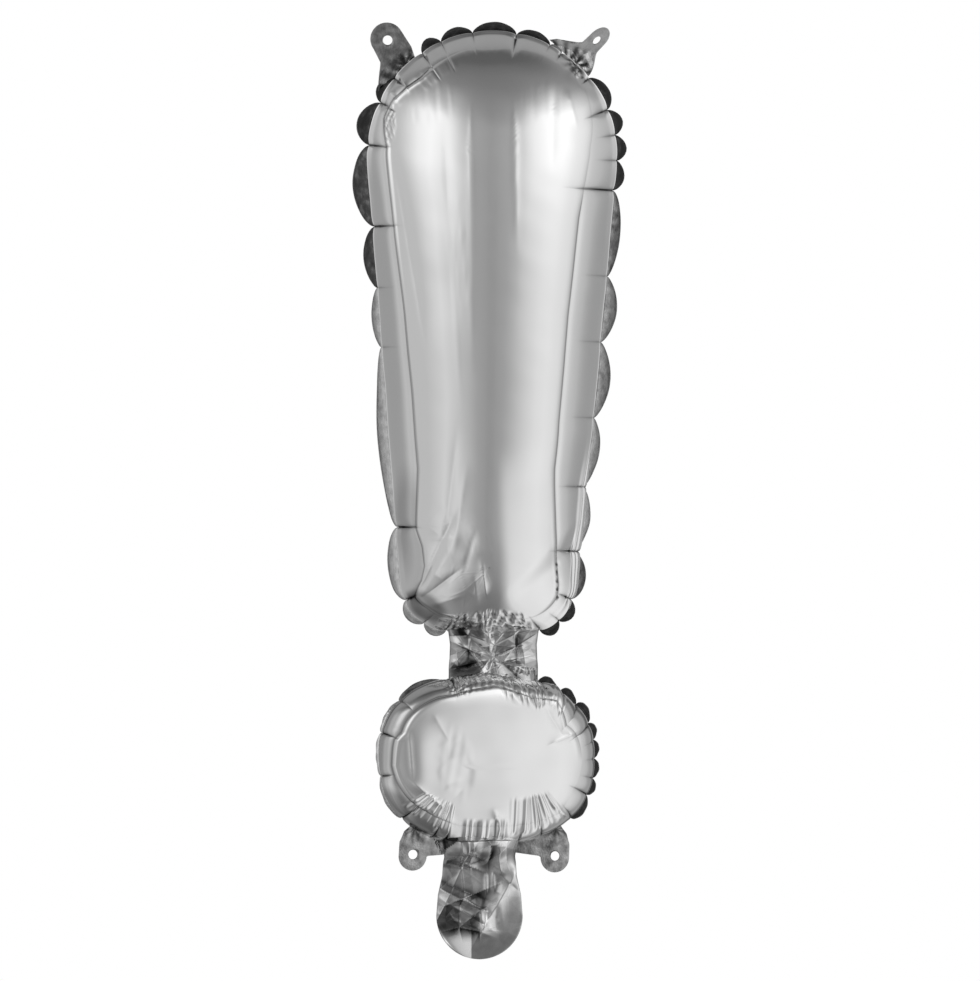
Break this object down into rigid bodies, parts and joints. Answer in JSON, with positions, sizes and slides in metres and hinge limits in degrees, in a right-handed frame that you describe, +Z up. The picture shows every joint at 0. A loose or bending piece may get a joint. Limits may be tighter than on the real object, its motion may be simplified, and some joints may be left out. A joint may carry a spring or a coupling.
{
  "type": "exclamation mark foil balloon",
  "caption": "Silver foil balloon shaped like an exclamation mark: air-filled bar and dot joined by a folded neck, with punched hanging tabs and a filling tail.",
  "frame": {"origin": "midway between the punched holes of the two top tabs, in the plane of the seam, where the hanging line passes", "axes": "+X to the right as seen from the front, front faces -Y, +Z up; the bar's seam lies in the plane Y = 0, and the dot's seam is turned 18 degrees about an upright line, so that the dot faces a little to +X"},
  "size_m": [0.1175, 0.0526, 0.399],
  "materials": {
    "silver_film": "mirror-bright metallised film with fine puckers",
    "sealed_edge": "two films heat-sealed together, with a fine knurl from the sealing tool"
  },
  "bodies": {
    "bar": {"bar_front_film": "silver_film", "bar_back_film": "silver_film", "bar_sealed_edge_top": "sealed_edge", "bar_sealed_edge_right": "sealed_edge", "bar_sealed_edge_left": "sealed_edge", "tab_top_left": "sealed_edge", "tab_top_right": "sealed_edge", "neck_upper_web": "silver_film"},
    "dot": {"neck_lower_web": "silver_film", "dot_front_film": "silver_film", "dot_back_film": "silver_film", "dot_sealed_edge_right": "sealed_edge", "dot_sealed_edge_left": "sealed_edge", "tab_bottom_left": "sealed_edge", "tab_bottom_right": "sealed_edge", "tail_throat": "silver_film"},
    "tail": {"tail_front_film": "silver_film", "tail_back_film": "silver_film"}
  },
  "joints": [
    {"name": "neck_fold", "type": "hinge", "parent": "bar", "child": "dot", "pos_m": [0, 0, -0.2613], "axis": [1, 0, 0], "range_deg": [-85, 85]},
    {"name": "tail_fold", "type": "hinge", "parent": "dot", "child": "tail", "pos_m": [0, 0, -0.351], "axis": [1, 0, 0], "range_deg": [-100, 100]}
  ]
}
